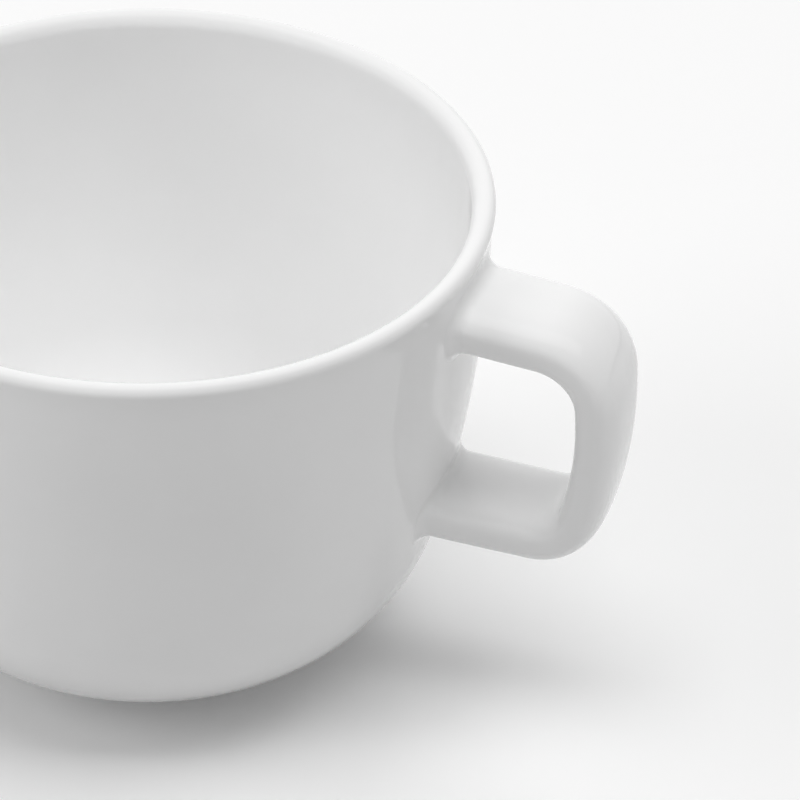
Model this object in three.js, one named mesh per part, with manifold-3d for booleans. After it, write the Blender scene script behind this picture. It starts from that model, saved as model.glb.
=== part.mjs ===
// Espresso cup in white glazed porcelain: a round bowl on a foot ring, a cast loop handle
// and the two beds of slip that hold the handle's ends to the bowl.
// Millimetres, +Z up. The cup stands on the plane z = 0 and its handle points along +X.
// The origin is the centre of the whole cup's footprint, so the bowl's axis lies at a small -X.

import * as THREE from 'three';
import { LoftGeometry } from 'three/addons/geometries/LoftGeometry.js';
import { mergeVertices } from 'three/addons/utils/BufferGeometryUtils.js';
import Module from 'manifold-3d';

// Bowl
const rimDiameter = 65; // outside, over the lip
const cupHeight = 48.5; // standing plane to the crest of the lip
const lipFlare = 0.25; // how far the lip stands out past the wall below it
const lipOuterRound = 1.05;
const lipInnerRound = 1.1;
const uprightDrop = 3.3; // from the lip's crest down to where the wall stands upright
const wallThickness = 2;
const wallLean = THREE.MathUtils.degToRad(13.5); // lean of the wall where the base curve takes over
const baseRound = 17.2; // outside radius of the curve between wall and base
const floorThickness = 3.2;

// Foot ring
const footDiameter = 31; // outside
const footWidth = 2.2;
const footChamfer = 0.3;
const footHeight = 1; // lowest point of the bowl's curve above the standing plane
const recessHeight = 0.9; // underside of the floor, inside the ring

// Handle, measured on the middle line of its band
const handleDrop = 5.65; // from the lip's crest down to where the upper arm leaves the wall
const upperArmLength = 7.5;
const upperArmFall = THREE.MathUtils.degToRad(3.5); // slope of the upper arm, falling outwards
const upperCornerRadius = 6;
const upperCornerTurn = THREE.MathUtils.degToRad(81.2);
const gripRadius = 40.2;
const gripTurn = THREE.MathUtils.degToRad(18.7);
const lowerCornerRadius = 4.55;
const lowerCornerTurn = THREE.MathUtils.degToRad(76.8);
const armWidth = 11.2;
const gripWidth = 11.1;
const armThickness = 4.6;
const gripThickness = 4.15;
// Exponents of the band's section: 2 is an ellipse, more is squarer
const outerSquareness = 2.7;
const innerSquareness = 4; // round the finger gap
const flareRadius = 1.3; // hollow round of the band's spread towards its ends

// Slip joints
const slipThickness = 0.4;
const slipBead = 0.25; // slip squeezed out past the edge of the handle's end
const jointClearance = 0.3;

// Fineness of the faceted surfaces
const roundSegments = 64;
const bandSegments = 28;
const wallSteps = 5;
const baseSteps = 6;
const lipSteps = 4;
const armSteps = 14;
const cornerSteps = 8;
const gripSteps = 5;
const weldDistance = 1e-4;

// Finish
const glazeColour = 0xf1f1ef;
const glazeRoughness = 0.12;
const slipColour = 0xecebe7;
const slipRoughness = 0.2;

// Bowl outline, worked out from the driving dimensions
const rimRadius = rimDiameter / 2;
const uprightRadius = rimRadius - lipFlare;
const uprightHeight = cupHeight - uprightDrop;
const leanSine = Math.sin(wallLean);
const leanCosine = Math.cos(wallLean);
const wallSweep = (uprightHeight - footHeight - baseRound * (1 - leanSine)) / leanSine;
const wallCentre = new THREE.Vector2(uprightRadius - wallSweep, uprightHeight);
const leanDirection = new THREE.Vector2(leanCosine, -leanSine);
const baseCentre = wallCentre.clone().addScaledVector(leanDirection, wallSweep - baseRound);

// From the bowl's wall to the end of the handle, with the slip between them
const jointDepth = slipThickness + 2 * jointClearance;

const wasm = await Module();
wasm.setup();

function arc(centre, radius, from, to, steps) {
  const clockwise = to < from;
  return new THREE.EllipseCurve(centre.x, centre.y, radius, radius, from, to, clockwise).getPoints(steps);
}

function baseCurveHeight(radius) {
  return baseCentre.y - Math.sqrt(baseRound ** 2 - (radius - baseCentre.x) ** 2);
}

// Outside radius of the bowl at a height
function wallRadiusAt(height) {
  if (height >= uprightHeight) return uprightRadius;
  const leanHeight = baseCentre.y - baseRound * leanSine;
  if (height >= leanHeight) {
    return wallCentre.x + Math.sqrt(wallSweep ** 2 - (height - wallCentre.y) ** 2);
  }
  return baseCentre.x + Math.sqrt(baseRound ** 2 - (height - baseCentre.y) ** 2);
}

// A lathe turns about Y, so the finished solid is stood up on +Z
function turned(outline) {
  return new THREE.LatheGeometry(outline, roundSegments).rotateX(Math.PI / 2);
}

function bowlGeometry() {
  const footRadius = footDiameter / 2;
  const footInner = footRadius - footWidth;
  const footTopHeight = baseCurveHeight(footRadius);
  const footAngle = Math.atan2(footTopHeight - baseCentre.y, footRadius - baseCentre.x);
  const lipOuterCentre = new THREE.Vector2(rimRadius - lipOuterRound, cupHeight - lipOuterRound);
  const innerRimRadius = uprightRadius - wallThickness;
  const lipInnerCentre = new THREE.Vector2(innerRimRadius + lipInnerRound, cupHeight - lipInnerRound);
  const innerSweep = wallSweep - wallThickness;
  const innerLean = wallCentre.clone().addScaledVector(leanDirection, innerSweep);
  const floorHeight = recessHeight + floorThickness;
  const innerRound = (innerLean.y - floorHeight) / (1 - leanSine);
  const innerBase = innerLean.clone().addScaledVector(leanDirection, -innerRound);
  const outline = [
    new THREE.Vector2(0, recessHeight),
    new THREE.Vector2(footInner - footChamfer, recessHeight),
    new THREE.Vector2(footInner, footChamfer),
    new THREE.Vector2(footInner + footChamfer, 0),
    new THREE.Vector2(footRadius - footChamfer, 0),
    new THREE.Vector2(footRadius, footChamfer),
    ...arc(baseCentre, baseRound, footAngle, -wallLean, baseSteps),
    ...arc(wallCentre, wallSweep, -wallLean, 0, wallSteps).slice(1),
    ...arc(lipOuterCentre, lipOuterRound, 0, Math.PI / 2, lipSteps),
    ...arc(lipInnerCentre, lipInnerRound, Math.PI / 2, Math.PI, lipSteps),
    ...arc(wallCentre, innerSweep, 0, -wallLean, wallSteps),
    ...arc(innerBase, innerRound, -wallLean, -Math.PI / 2, baseSteps).slice(1),
    new THREE.Vector2(0, floorHeight),
  ];
  return turned(outline);
}

// The bowl as a full block, grown outwards, for cutting what stands against its wall
function grownBowl(growth) {
  const outline = [
    new THREE.Vector2(0, footHeight - growth),
    ...arc(baseCentre, baseRound + growth, -Math.PI / 2, -wallLean, baseSteps),
    ...arc(wallCentre, wallSweep + growth, -wallLean, 0, wallSteps).slice(1),
    new THREE.Vector2(rimRadius + growth, cupHeight),
    new THREE.Vector2(0, cupHeight),
  ];
  return toSolid(turned(outline));
}

// Stations down the middle line of the handle: arm, corner, grip, corner, arm
function handleStations() {
  const upperRootHeight = cupHeight - handleDrop;
  const upperRootRadius = wallRadiusAt(upperRootHeight);
  const rootDepth = wallThickness;
  const stations = [];
  let heading = -upperArmFall;
  let x = upperRootRadius - rootDepth;
  let z = upperRootHeight + rootDepth * Math.tan(upperArmFall);
  const walk = (length, turn, steps) => {
    const stepTurn = turn / steps;
    const chord = turn === 0 ? length / steps : 2 * (length / turn) * Math.sin(stepTurn / 2);
    for (let i = 0; i < steps; i += 1) {
      stations.push({ x, z, heading });
      x += chord * Math.cos(heading - stepTurn / 2);
      z += chord * Math.sin(heading - stepTurn / 2);
      heading -= stepTurn;
    }
  };
  walk(upperArmLength + rootDepth / Math.cos(upperArmFall), 0, armSteps);
  walk(upperCornerRadius * upperCornerTurn, upperCornerTurn, cornerSteps);
  walk(gripRadius * gripTurn, gripTurn, gripSteps);
  walk(lowerCornerRadius * lowerCornerTurn, lowerCornerTurn, cornerSteps);
  const lowerRun = (x - wallRadiusAt(z) + rootDepth) / Math.abs(Math.cos(heading));
  walk(lowerRun, 0, armSteps);
  stations.push({ x, z, heading });
  return stations;
}

// The band spreads in a hollow round as it nears the slip
function flareAt(station) {
  const gap = station.x - wallRadiusAt(station.z) - jointDepth;
  const reach = THREE.MathUtils.clamp(flareRadius - gap, 0, flareRadius);
  return flareRadius - Math.sqrt(flareRadius ** 2 - reach ** 2);
}

// One closed section of the band, square to its middle line
function bandSection(station, width, thickness, growth) {
  const points = [];
  for (let i = 0; i < bandSegments; i += 1) {
    const angle = (2 * Math.PI * i) / bandSegments;
    const power = 2 / (angle <= Math.PI ? outerSquareness : innerSquareness);
    const squared = (value) => Math.sign(value) * Math.abs(value) ** power;
    const side = (width / 2 + growth) * squared(Math.cos(angle));
    const out = (thickness / 2 + growth) * squared(Math.sin(angle));
    const x = station.x - out * Math.sin(station.heading);
    const z = station.z + out * Math.cos(station.heading);
    points.push(new THREE.Vector3(x, side, z));
  }
  return points;
}

function loft(sections) {
  return new LoftGeometry(sections, { capStart: true, capEnd: true });
}

function handleSolid(stations) {
  const last = stations.length - 1;
  const sections = stations.map((station, i) => {
    const bulge = Math.sin((Math.PI * i) / last) ** 2;
    const width = THREE.MathUtils.lerp(armWidth, gripWidth, bulge);
    const thickness = THREE.MathUtils.lerp(armThickness, gripThickness, bulge);
    return bandSection(station, width, thickness, flareAt(station));
  });
  return toSolid(loft(sections)).subtract(grownBowl(jointDepth));
}

// A bed of slip: a curved pad between the bowl's wall and one end of the handle
function slipSolid(root, outward) {
  const spread = flareRadius + slipBead;
  const shifted = (distance) => ({
    x: root.x + distance * outward * Math.cos(root.heading),
    z: root.z + distance * outward * Math.sin(root.heading),
    heading: root.heading,
  });
  const ends = [0, wallThickness + 2 * jointDepth].map(shifted);
  if (outward < 0) ends.reverse();
  const block = loft(ends.map((end) => bandSection(end, armWidth, armThickness, spread)));
  return toSolid(block)
    .intersect(grownBowl(jointClearance + slipThickness))
    .subtract(grownBowl(jointClearance));
}

function toSolid(geometry) {
  const bare = new THREE.BufferGeometry();
  bare.setAttribute('position', geometry.attributes.position);
  bare.setIndex(geometry.index);
  const welded = mergeVertices(bare, weldDistance);
  const corners = welded.index.array;
  const triVerts = [];
  for (let i = 0; i < corners.length; i += 3) {
    const [a, b, c] = corners.slice(i, i + 3);
    if (a !== b && b !== c && c !== a) triVerts.push(a, b, c);
  }
  const vertProperties = new Float32Array(welded.attributes.position.array);
  return new wasm.Manifold(
    new wasm.Mesh({ numProp: 3, vertProperties, triVerts: new Uint32Array(triVerts) }),
  );
}

function toGeometry(solid) {
  const mesh = solid.getMesh();
  const geometry = new THREE.BufferGeometry();
  geometry.setAttribute('position', new THREE.BufferAttribute(mesh.vertProperties, mesh.numProp));
  geometry.setIndex(new THREE.BufferAttribute(mesh.triVerts, 1));
  geometry.computeVertexNormals();
  return geometry;
}

function piece(name, geometry, colour, roughness) {
  const material = new THREE.MeshStandardMaterial({ color: colour, roughness, metalness: 0 });
  const mesh = new THREE.Mesh(geometry, material);
  mesh.name = name;
  return mesh;
}

const stations = handleStations();
const upperRoot = stations[0];
const lowerRoot = stations[stations.length - 1];
const handle = handleSolid(stations);

const cup = new THREE.Group();
cup.name = 'espresso_cup';
cup.add(piece('cup_body', bowlGeometry(), glazeColour, glazeRoughness));
cup.add(piece('handle', toGeometry(handle), glazeColour, glazeRoughness));
const upperSlip = toGeometry(slipSolid(upperRoot, 1));
const lowerSlip = toGeometry(slipSolid(lowerRoot, -1));
cup.add(piece('upper_slip_joint', upperSlip, slipColour, slipRoughness));
cup.add(piece('lower_slip_joint', lowerSlip, slipColour, slipRoughness));

// The origin is midway between the far side of the bowl and the handle's outer face
const handleReach = handle.boundingBox().max[0];
cup.position.x = (rimRadius - handleReach) / 2;

export default cup;
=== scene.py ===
import bmesh
import bpy
import math
from mathutils import Matrix, Vector


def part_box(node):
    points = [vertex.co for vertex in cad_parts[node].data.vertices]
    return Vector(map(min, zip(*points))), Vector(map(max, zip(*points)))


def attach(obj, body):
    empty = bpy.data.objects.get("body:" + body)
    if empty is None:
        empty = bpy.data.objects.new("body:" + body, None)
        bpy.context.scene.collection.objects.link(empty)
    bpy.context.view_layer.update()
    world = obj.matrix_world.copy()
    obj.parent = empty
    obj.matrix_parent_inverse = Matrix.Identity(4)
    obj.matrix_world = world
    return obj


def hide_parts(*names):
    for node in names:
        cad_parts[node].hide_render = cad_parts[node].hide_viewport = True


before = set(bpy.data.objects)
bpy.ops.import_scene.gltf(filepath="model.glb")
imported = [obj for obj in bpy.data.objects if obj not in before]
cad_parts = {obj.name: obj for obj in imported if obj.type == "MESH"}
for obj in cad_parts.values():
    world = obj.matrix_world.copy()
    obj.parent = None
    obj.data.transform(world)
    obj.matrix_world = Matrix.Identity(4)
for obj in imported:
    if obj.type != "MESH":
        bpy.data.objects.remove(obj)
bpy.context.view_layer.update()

# the frame gives the bowl's axis and overall size; the pieces are drawn in millimetres and degrees
# with the bowl's axis as x = 0 and the table as z = 0, and newPiece puts them in their place
mm = 0.001
bodyLow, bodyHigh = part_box("cup_body")
axisX = (bodyLow.x + bodyHigh.x) / 2
rimRadius = (bodyHigh.x - bodyLow.x) / 2 / mm
cupHeight = bodyHigh.z / mm


def linear(hexColour):      # sRGB hex to the linear colour that a socket takes
    parts = [int(hexColour[i:i + 2], 16) / 255 for i in (1, 3, 5)]
    return [c / 12.92 if c <= 0.04045 else ((c + 0.055) / 1.055) ** 2.4 for c in parts] + [1.0]


def addNode(tree, kind, settings=None, links=None):
    node = tree.nodes.new(kind)
    for name, value in (settings or {}).items():
        if isinstance(name, int) or name in node.inputs:
            node.inputs[name].default_value = value
        else:
            setattr(node, name, value)
    for name, source in (links or {}).items():
        tree.links.new(source, node.inputs[name])
    return node


def newTree(name):
    material = bpy.data.materials.new(name)
    material.use_nodes = True
    material.node_tree.nodes.clear()
    return material, material.node_tree


def perMetre(sizeInMm):     # noise scale whose lumps are about this size
    return 1 / (sizeInMm * mm)


# glazed porcelain: white body under a clear glaze, fired glossy; the eye gets a clean white,
# sharp reflections and a faint waviness where the glaze ran before it set; over slip it waves twice as much
glaze = {"white": "#f9f9f9", "thick": "#f7f7f7", "poolSize": 16.0, "poolEdges": (0.35, 0.65),
         "waveSize": 6.0, "waveHeight": 0.006, "slipWaveHeight": 0.012,
         "gloss": 0.02, "dull": 0.05, "hazeSize": 3.0, "ior": 1.52}


def makeGlaze(name, waveHeight):
    material, tree = newTree(name)
    place = addNode(tree, "ShaderNodeTexCoord").outputs["Object"]
    pools = addNode(tree, "ShaderNodeTexNoise", {"Scale": perMetre(glaze["poolSize"]), "Detail": 3.0},
                    {"Vector": place})
    tint = addNode(tree, "ShaderNodeValToRGB", links={"Fac": pools.outputs["Fac"]})
    for stop, edge, colour in zip(tint.color_ramp.elements, glaze["poolEdges"], ("thick", "white")):
        stop.position = edge
        stop.color = linear(glaze[colour])
    haze = addNode(tree, "ShaderNodeTexNoise", {"Scale": perMetre(glaze["hazeSize"]), "Detail": 4.0},
                   {"Vector": place})
    gloss = addNode(tree, "ShaderNodeMapRange", {"To Min": glaze["gloss"], "To Max": glaze["dull"]},
                    {"Value": haze.outputs["Fac"]})
    waves = addNode(tree, "ShaderNodeTexNoise", {"Scale": perMetre(glaze["waveSize"]), "Detail": 1.0},
                    {"Vector": place})
    ripple = addNode(tree, "ShaderNodeBump", {"Strength": 1.0, "Distance": waveHeight * mm},
                     {"Height": waves.outputs["Fac"]})
    shader = addNode(tree, "ShaderNodeBsdfPrincipled", {"IOR": glaze["ior"]},
                     {"Base Color": tint.outputs["Color"], "Roughness": gloss.outputs["Result"],
                      "Normal": ripple.outputs["Normal"]})
    addNode(tree, "ShaderNodeOutputMaterial", links={"Surface": shader.outputs["BSDF"]})
    return material


# bare porcelain: the foot's flat is wiped clean of glaze so that it doesn't stick in the kiln;
# a matt, slightly warmer ring with a fine grit
bare = {"pale": "#e4e1da", "worn": "#d6d2ca", "gritSize": 0.5, "gritEdges": (0.3, 0.6), "gritHeight": 0.03,
        "roughness": 0.62, "ior": 1.5}


def makeBare():
    material, tree = newTree("barePorcelain")
    place = addNode(tree, "ShaderNodeTexCoord").outputs["Object"]
    grit = addNode(tree, "ShaderNodeTexNoise", {"Scale": perMetre(bare["gritSize"]), "Detail": 5.0},
                   {"Vector": place})
    tint = addNode(tree, "ShaderNodeValToRGB", links={"Fac": grit.outputs["Fac"]})
    for stop, edge, colour in zip(tint.color_ramp.elements, bare["gritEdges"], ("worn", "pale")):
        stop.position = edge
        stop.color = linear(bare[colour])
    tooth = addNode(tree, "ShaderNodeBump", {"Strength": 1.0, "Distance": bare["gritHeight"] * mm},
                    {"Height": grit.outputs["Fac"]})
    shader = addNode(tree, "ShaderNodeBsdfPrincipled", {"Roughness": bare["roughness"], "IOR": bare["ior"]},
                     {"Base Color": tint.outputs["Color"], "Normal": tooth.outputs["Normal"]})
    addNode(tree, "ShaderNodeOutputMaterial", links={"Surface": shader.outputs["BSDF"]})
    return material


glazedPorcelain = makeGlaze("glazedPorcelain", glaze["waveHeight"])
glazedSlip = makeGlaze("glazedSlip", glaze["slipWaveHeight"])
barePorcelain = makeBare()
print("materials made")


def lineTo(bm, vert, x, z):         # carries an outline on in the XZ plane
    tip = bmesh.ops.extrude_vert_indiv(bm, verts=[vert])["verts"][0]
    bmesh.ops.translate(bm, vec=Vector((x, 0, z)) - tip.co, verts=[tip])
    return tip


def arcRound(bm, vert, centre, degrees, steps):     # the same on an arc, anticlockwise from the front
    swept = bmesh.ops.spin(bm, geom=[vert], cent=(centre[0], 0, centre[1]), axis=(0, -1, 0),
                           angle=math.radians(degrees), steps=steps)
    return next(item for item in swept["geom_last"] if isinstance(item, bmesh.types.BMVert))


def newPiece(name, bm, *materials):     # millimetres round the bowl's axis to metres in the frame
    bmesh.ops.scale(bm, vec=(mm, mm, mm), verts=bm.verts)
    bmesh.ops.translate(bm, vec=(axisX, 0, 0), verts=bm.verts)
    for face in bm.faces:
        face.smooth = True
    mesh = bpy.data.meshes.new(name)
    bm.to_mesh(mesh)
    bm.free()
    for material in materials:
        mesh.materials.append(material)
    piece = bpy.data.objects.new(name, mesh)
    bpy.context.scene.collection.objects.link(piece)
    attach(piece, "root")
    return piece


# the bowl: one turned form from the foot's recess over the outside, the lip and the inside to the floor
bowl = {"lipOuterRound": 0.8, "lipInnerRound": 1.4, "lipFlare": 0.25, "neckRound": 8.0, "uprightDrop": 3.3,
        "wallThickness": 2.0, "wallLean": 13.5, "baseRound": 17.2, "floorThickness": 3.2,
        "footDiameter": 31.0, "footWidth": 2.2, "footHeight": 1.0, "recessHeight": 0.9,
        "footRound": 0.3, "footFillet": 0.5, "footSteps": 4, "flatWithin": 0.01, "mergeWithin": 1e-4,
        "aroundSteps": 192, "wallSteps": 28, "baseSteps": 28, "lipSteps": 12}

# the outside is an upright neck, a wide arc down the wall and a tighter one round the base, all tangent
lean = math.radians(bowl["wallLean"])
uprightRadius = rimRadius - bowl["lipFlare"]
uprightHeight = cupHeight - bowl["uprightDrop"]
wallSweep = (uprightHeight - bowl["footHeight"] - bowl["baseRound"] * (1 - math.sin(lean))) / math.sin(lean)
wallCentre = Vector((uprightRadius - wallSweep, uprightHeight))
leanWay = Vector((math.cos(lean), -math.sin(lean)))
baseCentre = wallCentre + leanWay * (wallSweep - bowl["baseRound"])
lipCentre = Vector((rimRadius - bowl["lipOuterRound"], cupHeight - bowl["lipOuterRound"]))
neckTurn = math.acos(1 - bowl["lipFlare"] / (bowl["lipOuterRound"] + bowl["neckRound"]))
neckHeight = lipCentre.y - (bowl["lipOuterRound"] + bowl["neckRound"]) * math.sin(neckTurn)


def wallRadius(z):          # outside of the bowl at a height, up to the lip
    if z > neckHeight:
        above = min(z, lipCentre.y) - neckHeight
        return uprightRadius + bowl["neckRound"] - math.sqrt(bowl["neckRound"] ** 2 - above ** 2)
    if z < baseCentre.y - bowl["baseRound"] * math.sin(lean):
        return baseCentre.x + math.sqrt(bowl["baseRound"] ** 2 - (z - baseCentre.y) ** 2)
    below = min(z - wallCentre.y, 0)
    return wallCentre.x + math.sqrt(wallSweep ** 2 - below ** 2)


def makeBowl():
    footOuter = bowl["footDiameter"] / 2
    footInner = footOuter - bowl["footWidth"]
    footAngle = math.degrees(math.acos((footOuter - baseCentre.x) / bowl["baseRound"]))
    footTop = baseCentre.y - math.sqrt(bowl["baseRound"] ** 2 - (footOuter - baseCentre.x) ** 2)
    bm = bmesh.new()
    tip = bmesh.ops.create_vert(bm, co=(0, 0, bowl["recessHeight"]))["vert"][0]
    recessEdge = tip = lineTo(bm, tip, footInner, bowl["recessHeight"])
    flatInner = tip = lineTo(bm, tip, footInner, 0)
    flatOuter = tip = lineTo(bm, tip, footOuter, 0)
    flankTop = tip = lineTo(bm, tip, footOuter, footTop)
    tip = arcRound(bm, tip, baseCentre, footAngle - bowl["wallLean"], bowl["baseSteps"])
    tip = arcRound(bm, tip, wallCentre, bowl["wallLean"], bowl["wallSteps"])
    # a small hollow under the lip, then the lip's outer and inner rounds
    tip = lineTo(bm, tip, uprightRadius, neckHeight)
    neckCentre = (uprightRadius + bowl["neckRound"], neckHeight)
    tip = arcRound(bm, tip, neckCentre, -math.degrees(neckTurn), bowl["lipSteps"] // 2)
    tip = arcRound(bm, tip, lipCentre, math.degrees(neckTurn) + 90, bowl["lipSteps"])
    innerRim = uprightRadius - bowl["wallThickness"]
    innerCrest = (innerRim + bowl["lipInnerRound"], cupHeight - bowl["lipInnerRound"])
    tip = lineTo(bm, tip, innerCrest[0], cupHeight)
    tip = arcRound(bm, tip, innerCrest, 90, bowl["lipSteps"])
    # the inside drops straight from the lip, then follows the outside
    tip = lineTo(bm, tip, innerRim, uprightHeight)
    innerSweep = wallSweep - bowl["wallThickness"]
    tip = arcRound(bm, tip, wallCentre, -bowl["wallLean"], bowl["wallSteps"])
    floorHeight = bowl["recessHeight"] + bowl["floorThickness"]
    innerLean = wallCentre + leanWay * innerSweep
    innerRound = (innerLean.y - floorHeight) / (1 - math.sin(lean))
    tip = arcRound(bm, tip, innerLean - leanWay * innerRound, bowl["wallLean"] - 90, bowl["baseSteps"])
    lineTo(bm, tip, 0, floorHeight)
    for corners, offset in (([recessEdge, flatInner, flatOuter], bowl["footRound"]),
                            ([flankTop], bowl["footFillet"])):
        bmesh.ops.bevel(bm, geom=corners, offset=offset, affect="VERTICES", segments=bowl["footSteps"],
                        profile=0.5, material=-1)
    bmesh.ops.spin(bm, geom=bm.verts[:] + bm.edges[:], cent=(0, 0, 0), axis=(0, 0, 1), angle=math.tau,
                   steps=bowl["aroundSteps"], use_merge=True)
    bmesh.ops.remove_doubles(bm, verts=bm.verts, dist=bowl["mergeWithin"])
    bmesh.ops.recalc_face_normals(bm, faces=bm.faces)
    for face in bm.faces:
        if face.calc_center_median().z < bowl["flatWithin"]:    # the flat that the foot stands on
            face.material_index = 1
    return newPiece("cupBowl", bm, glazedPorcelain, barePorcelain)


cupBowl = makeBowl()
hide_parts("cup_body")
print("bowl made:", len(cupBowl.data.polygons), "faces")

# the handle: a band with soft outside edges and crisper edges round the finger gap
band = {"drop": 5.65, "fall": 3.46, "armLength": 7.49, "upperRound": 5.98, "upperTurn": 81.2,
        "gripRound": 40.2, "gripTurn": 18.7, "lowerRound": 4.53, "lowerTurn": 76.8,
        "armWidth": 11.16, "gripWidth": 11.08, "armThickness": 4.6, "gripThickness": 4.15,
        "outerSquareness": 2.7, "innerSquareness": 4.0, "sides": 112,
        "armSteps": 8, "cornerSteps": 24, "gripSteps": 16}

# where an arm meets the wall: a hollow round, the last of it in slip, a little uneven from the brush;
# brushWaves are waves round the joint, where they start and their share, and clearOf is in reaches
joint = {"fillet": 1.15, "reach": 1.3, "clearOf": 1.6, "slipFrom": 40.0, "steps": 24, "sink": 0.15,
         "unevenness": 0.07, "brushWaves": ((2, 0.8, 1.0), (5, 0.0, 0.6)), "seatTries": 8}


def seat(point, along, height):     # slides a point along its arm until it stands this high over the wall
    for _ in range(joint["seatTries"]):
        gap = math.hypot(point.x, point.y) - wallRadius(point.z)
        point = point + along * (height - gap)
    return point


def bandPlaces():           # where the section stands along the centreline, as matrices
    rootHeight = cupHeight - band["drop"]
    spot = Vector((wallRadius(rootHeight), 0, rootHeight))
    heading = -math.radians(band["fall"])
    walk = [(spot, heading)]
    moves = [(band["armLength"], 0, band["armSteps"])]
    for corner in ("upper", "grip", "lower"):
        turn = math.radians(band[corner + "Turn"])
        steps = band["gripSteps"] if corner == "grip" else band["cornerSteps"]
        moves.append((band[corner + "Round"] * turn, turn, steps))
    for length, turn, steps in moves:
        bend = turn / steps
        chord = length / steps * (math.sin(bend / 2) / (bend / 2) if bend else 1)
        for _ in range(steps):
            way = heading - bend / 2
            spot = spot + chord * Vector((math.cos(way), 0, math.sin(way)))
            heading -= bend
            walk.append((spot, heading))
    ahead = Vector((math.cos(heading), 0, math.sin(heading)))
    lowerRoot = seat(spot, -ahead, 0)
    for step in range(band["armSteps"]):
        walk.append((spot.lerp(lowerRoot, (step + 1) / band["armSteps"]), heading))
    lengths = [0]
    for (here, _), (there, _) in zip(walk, walk[1:]):
        lengths.append(lengths[-1] + (there - here).length)
    places = []
    for (spot, heading), length in zip(walk, lengths):
        swell = math.sin(math.pi * length / lengths[-1]) ** 2
        width = band["armWidth"] + swell * (band["gripWidth"] - band["armWidth"])
        thickness = band["armThickness"] + swell * (band["gripThickness"] - band["armThickness"])
        out = Vector((-math.sin(heading), 0, math.cos(heading)))
        ahead = Vector((math.cos(heading), 0, math.sin(heading)))
        place = Matrix((out * thickness / 2, Vector((0, width / 2, 0)), ahead)).transposed().to_4x4()
        place.translation = spot
        places.append(place)
    return places


def newRing(bm):            # the band's section in unit size, x outwards and y across, as point: unit place
    onAxis = 1e-6           # rounding that the circle leaves
    ring = {}
    for vert in bmesh.ops.create_circle(bm, cap_ends=False, segments=band["sides"], radius=1)["verts"]:
        square = band["outerSquareness"] if vert.co.x >= 0 else band["innerSquareness"]
        vert.co = [math.copysign(abs(c) ** (2 / square), c) if abs(c) > onAxis else 0 for c in vert.co]
        ring[vert] = vert.co.copy()
    return ring


def ringEdges(ring):
    return list(dict.fromkeys(edge for vert in ring for edge in vert.link_edges
                              if edge.other_vert(vert) in ring))


def nextRing(bm, ring):     # extrudes the ring on; each new point takes over its old one's unit place
    made = bmesh.ops.extrude_edge_only(bm, edges=ringEdges(ring))["geom"]
    fresh = {}
    for vert in made:
        if isinstance(vert, bmesh.types.BMVert):
            others = [edge.other_vert(vert) for edge in vert.link_edges]
            fresh[vert] = next(ring[other] for other in others if other in ring)
    return fresh


def spreadRing(ring, place, along, turn, sink=0):   # sets a ring on the hollow round between arm and wall
    width, thickness = place.col[1].length, place.col[0].length
    for vert, unit in ring.items():
        square = band["outerSquareness"] if unit.x >= 0 else band["innerSquareness"]
        slope = [math.copysign(abs(unit.x) ** (square - 1) / thickness, unit.x),
                 math.copysign(abs(unit.y) ** (square - 1) / width, unit.y)]
        side = Vector(slope).normalized()
        around = math.atan2(unit.y, unit.x)
        uneven = sum(share * math.sin(waves * around + start) for waves, start, share in joint["brushWaves"])
        fillet, reach = (joint[k] * (1 + joint["unevenness"] * uneven) for k in ("fillet", "reach"))
        outward = place.col[0].xyz.normalized() * side.x + Vector((0, side.y, 0))
        spread = fillet * (1 - math.cos(turn)) + sink
        plain = place @ Vector((unit.x, unit.y, 0))
        vert.co = seat(plain + outward * spread, along, reach * (1 - math.sin(turn)) - sink)


def capRing(bm, ring):      # closes an end, with a sharp edge so that the round keeps its own shading
    edges = ringEdges(ring)
    for edge in edges:
        edge.smooth = False
    bmesh.ops.edgeloop_fill(bm, edges=edges)


def makeHandle(places, roots):
    bm = bmesh.new()
    first = ring = newRing(bm)
    # the arms' own steps that lie inside the hollow rounds are left to the rounds
    clear = joint["reach"] * joint["clearOf"]
    free = [p for p in places if all((p.translation - root.translation).length > clear for root, _ in roots)]
    bmesh.ops.transform(bm, matrix=free[0], space=Matrix(), verts=list(ring))
    for before, place in zip(free, free[1:]):
        ring = nextRing(bm, ring)
        bmesh.ops.transform(bm, matrix=place @ before.inverted(), space=Matrix(), verts=list(ring))
    slipFrom = math.radians(joint["slipFrom"])
    for end, (root, along) in zip((first, ring), roots):
        steps = joint["steps"] // 2
        for step in range(steps + 1):
            end = nextRing(bm, end)
            spreadRing(end, root, along, slipFrom * step / steps)
        capRing(bm, end)
    bmesh.ops.recalc_face_normals(bm, faces=bm.faces)
    return newPiece("cupHandle", bm, glazedPorcelain)


def makeSlip(name, root, along):
    bm = bmesh.new()
    first = ring = newRing(bm)
    slipFrom = math.radians(joint["slipFrom"])
    spreadRing(ring, root, along, slipFrom)
    for step in range(1, joint["steps"] + 1):
        ring = nextRing(bm, ring)
        spreadRing(ring, root, along, slipFrom + (math.pi / 2 - slipFrom) * step / joint["steps"])
    ring = nextRing(bm, ring)
    spreadRing(ring, root, along, math.pi / 2, joint["sink"])
    capRing(bm, first)
    capRing(bm, ring)
    bmesh.ops.recalc_face_normals(bm, faces=bm.faces)
    return newPiece(name, bm, glazedSlip)


places = bandPlaces()
upperRoot = (places[0], places[0].col[2].xyz.copy())
lowerRoot = (places[-1], -places[-1].col[2].xyz)
cupHandle = makeHandle(places, (upperRoot, lowerRoot))
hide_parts("handle")
upperSlip = makeSlip("upperSlipFillet", *upperRoot)
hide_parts("upper_slip_joint")
lowerSlip = makeSlip("lowerSlipFillet", *lowerRoot)
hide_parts("lower_slip_joint")
print("handle made:", len(cupHandle.data.polygons), "faces")

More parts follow.
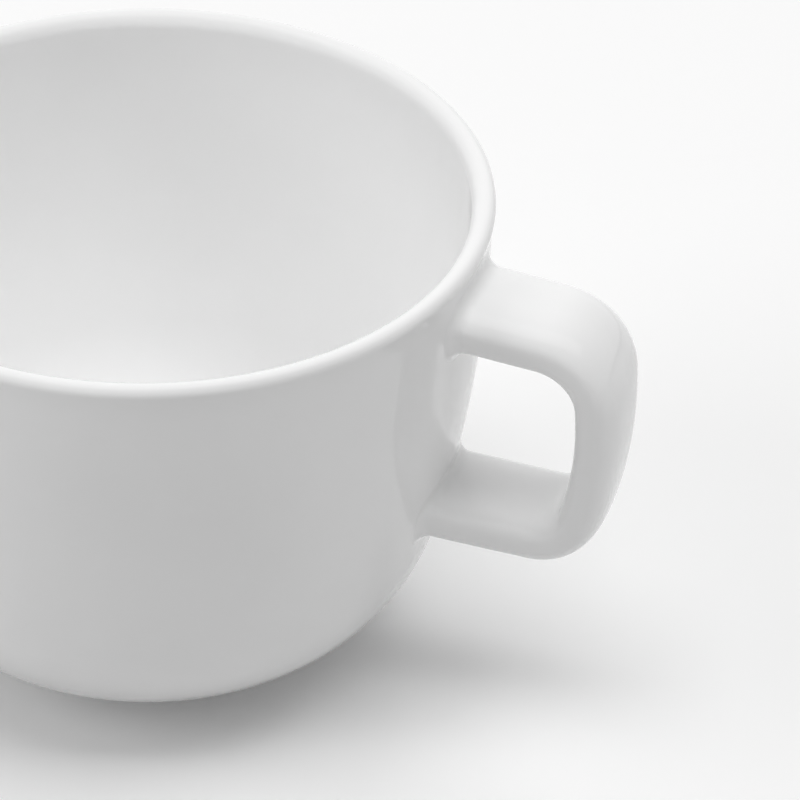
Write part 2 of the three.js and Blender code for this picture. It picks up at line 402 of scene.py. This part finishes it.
# the camera, matched to the picture: the rim's middle shows at rimPixel, rimDepth along the view
shot = {"lens": 180.0, "sensor": 36.0, "picture": 800, "azimuth": 17.5, "elevation": 36.31, "roll": 1.9,
        "rimPixel": (146.7, 185.0), "rimDepth": 371.5, "nearest": 10.0}


def makeCamera():
    azimuth, elevation, roll = (math.radians(shot[k]) for k in ("azimuth", "elevation", "roll"))
    ahead = Vector((-math.sin(azimuth) * math.cos(elevation), math.cos(azimuth) * math.cos(elevation),
                    -math.sin(elevation)))
    level = Vector((math.cos(azimuth), math.sin(azimuth), 0))
    upright = level.cross(ahead)
    right = level * math.cos(roll) + upright * math.sin(roll)
    up = upright * math.cos(roll) - level * math.sin(roll)
    pixel = shot["sensor"] / shot["lens"] / shot["picture"]
    aside = (shot["rimPixel"][0] - shot["picture"] / 2) * pixel
    above = (shot["picture"] / 2 - shot["rimPixel"][1]) * pixel
    rimMiddle = Vector((axisX, 0, cupHeight * mm))
    stand = rimMiddle - shot["rimDepth"] * mm * (ahead + aside * right + above * up)
    data = bpy.data.cameras.new("camera")
    data.lens = shot["lens"]
    data.sensor_width = shot["sensor"]
    data.clip_start = shot["nearest"] * mm
    camera = bpy.data.objects.new("camera", data)
    turned = Matrix((right, up, -ahead)).transposed().to_4x4()
    camera.matrix_world = Matrix.Translation(stand) @ turned
    bpy.context.scene.collection.objects.link(camera)
    bpy.context.scene.camera = camera


makeCamera()

# plain white floor and soft light, in metres: a long box overhead, a lower one behind and a weaker one from
# the left, which light the cup but don't show in its glaze, a wide card overhead that only shows in the
# glaze, and a dim room; the white bowl needs more bounces than usual to light its inside
stage = {"floorSize": 6.0, "floorWhite": "#fdfdfd", "floorBounce": "#dcdcdc", "floorRoughness": 0.9,
         "room": 0.315, "backdrop": 0.94, "bounces": 10, "boxDistance": 1.0}
keyBox = {"across": 0.89, "deep": 0.42, "watts": 4.7, "tilt": 10.0, "around": 57.5}
backBox = {"across": 0.5, "deep": 0.5, "watts": 2.85, "tilt": 60.0, "around": 180.0}
fillBox = {"across": 0.5, "deep": 0.5, "watts": 2.15, "tilt": 60.0, "around": 280.0}
sheenCard = {"across": 2.0, "deep": 0.6, "watts": 2.4, "tilt": 8.0, "around": 180.0}


def viewerWays():           # level directions towards the viewer and to the viewer's right
    back = bpy.context.scene.camera.matrix_world.col[2]
    nearer = Vector((back.x, back.y, 0)).normalized()
    return nearer, Vector((0, 0, 1)).cross(nearer)


def makeBox(name, box):     # faces the cup, tilted off the upright and turned round it from the viewer
    nearer, right = viewerWays()
    tilt, around = math.radians(box["tilt"]), math.radians(box["around"])
    level = nearer * math.cos(around) + right * math.sin(around)
    towards = level * math.sin(tilt) + Vector((0, 0, math.cos(tilt)))
    across = (right - towards * right.dot(towards)).normalized()
    lamp = bpy.data.lights.new(name, "AREA")
    lamp.shape = "RECTANGLE"
    lamp.size = box["across"]
    lamp.size_y = box["deep"]
    lamp.energy = box["watts"]
    piece = bpy.data.objects.new(name, lamp)
    turned = Matrix((across, towards.cross(across), towards)).transposed().to_4x4()
    piece.matrix_world = Matrix.Translation(Vector((axisX, 0, 0)) + towards * stage["boxDistance"]) @ turned
    bpy.context.scene.collection.objects.link(piece)
    return piece


def seenRays(tree):         # 1 for the camera's, mirrored and refracted rays, 0 for scattered light
    path = addNode(tree, "ShaderNodeLightPath")
    bent = addNode(tree, "ShaderNodeMath", {"operation": "MAXIMUM"},
                   {0: path.outputs["Is Glossy Ray"], 1: path.outputs["Is Transmission Ray"]})
    return addNode(tree, "ShaderNodeMath", {"operation": "MAXIMUM"},
                   {0: path.outputs["Is Camera Ray"], 1: bent.outputs[0]}).outputs[0]


def makeFloor():
    bm = bmesh.new()
    bmesh.ops.create_grid(bm, x_segments=2, y_segments=2, size=stage["floorSize"] / 2)
    mesh = bpy.data.meshes.new("floor")
    bm.to_mesh(mesh)
    bm.free()
    material, tree = newTree("paintedFloor")
    # what is seen of the floor is white; the grey keeps its glow off the cup's sides
    paint = addNode(tree, "ShaderNodeMix", {"data_type": "RGBA", 6: linear(stage["floorBounce"]),
                                            7: linear(stage["floorWhite"])}, {0: seenRays(tree)})
    shader = addNode(tree, "ShaderNodeBsdfPrincipled",
                     {"Roughness": stage["floorRoughness"], "Specular IOR Level": 0.0},
                     {"Base Color": paint.outputs[2]})
    addNode(tree, "ShaderNodeOutputMaterial", links={"Surface": shader.outputs["BSDF"]})
    mesh.materials.append(material)
    floor = bpy.data.objects.new("floor", mesh)
    bpy.context.scene.collection.objects.link(floor)


def makeRoom():             # a dim even room, seen as a white backdrop
    world = bpy.data.worlds.new("studio")
    world.use_nodes = True
    tree = world.node_tree
    tree.nodes.clear()
    dim = addNode(tree, "ShaderNodeBackground", {"Color": (1, 1, 1, 1), "Strength": stage["room"]})
    plain = addNode(tree, "ShaderNodeBackground", {"Color": (1, 1, 1, 1), "Strength": stage["backdrop"]})
    mixed = addNode(tree, "ShaderNodeMixShader", links={0: seenRays(tree), 1: dim.outputs[0],
                                                        2: plain.outputs[0]})
    addNode(tree, "ShaderNodeOutputWorld", links={"Surface": mixed.outputs[0]})
    bpy.context.scene.world = world


def makeStage():
    makeFloor()
    makeRoom()
    for name, box in (("keyBox", keyBox), ("backBox", backBox), ("fillBox", fillBox)):
        makeBox(name, box).visible_glossy = False
    makeBox("sheenCard", sheenCard).visible_diffuse = False
    bpy.context.scene.view_settings.view_transform = "Standard"
    bpy.context.scene.cycles.diffuse_bounces = stage["bounces"]


makeStage()
print("camera, floor and light made")
